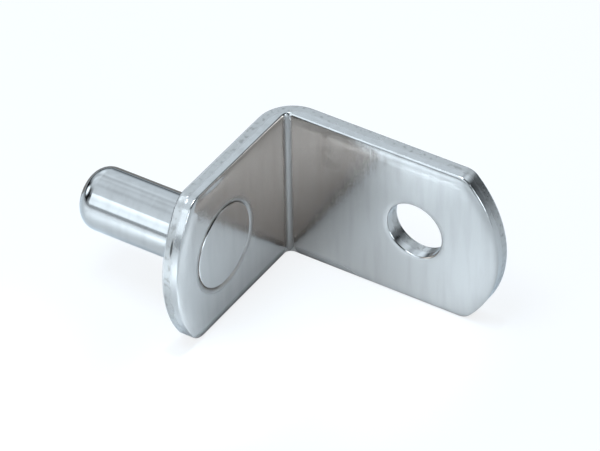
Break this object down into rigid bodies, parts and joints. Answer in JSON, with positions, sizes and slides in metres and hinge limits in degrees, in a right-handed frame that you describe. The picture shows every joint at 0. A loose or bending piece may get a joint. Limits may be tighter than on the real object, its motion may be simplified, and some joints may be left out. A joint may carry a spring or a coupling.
{
  "type": "shelf pin",
  "caption": "Right-angle nickel-plated steel shelf support with a round-nosed pin riveted through one leg and a screw hole in the other.",
  "frame": {"origin": "on the pin's axis, at the outer face of the pin leg, where the side panel's face lies", "axes": "-X along the pin towards its nose; +X along the shelf leg; +Y square to the shelf leg's outer face; +Z across the strip's width. The bracket stands on its long edges at the lowest Z, as pictured"},
  "size_m": [0.03, 0.0162, 0.0132],
  "materials": {
    "plated_strip": "bright nickel plate over stamped strip",
    "plated_pin": "bright nickel plate over turned pin"
  },
  "bodies": {
    "root": {"bracket": "plated_strip", "support_pin": "plated_pin"}
  },
  "joints": []
}
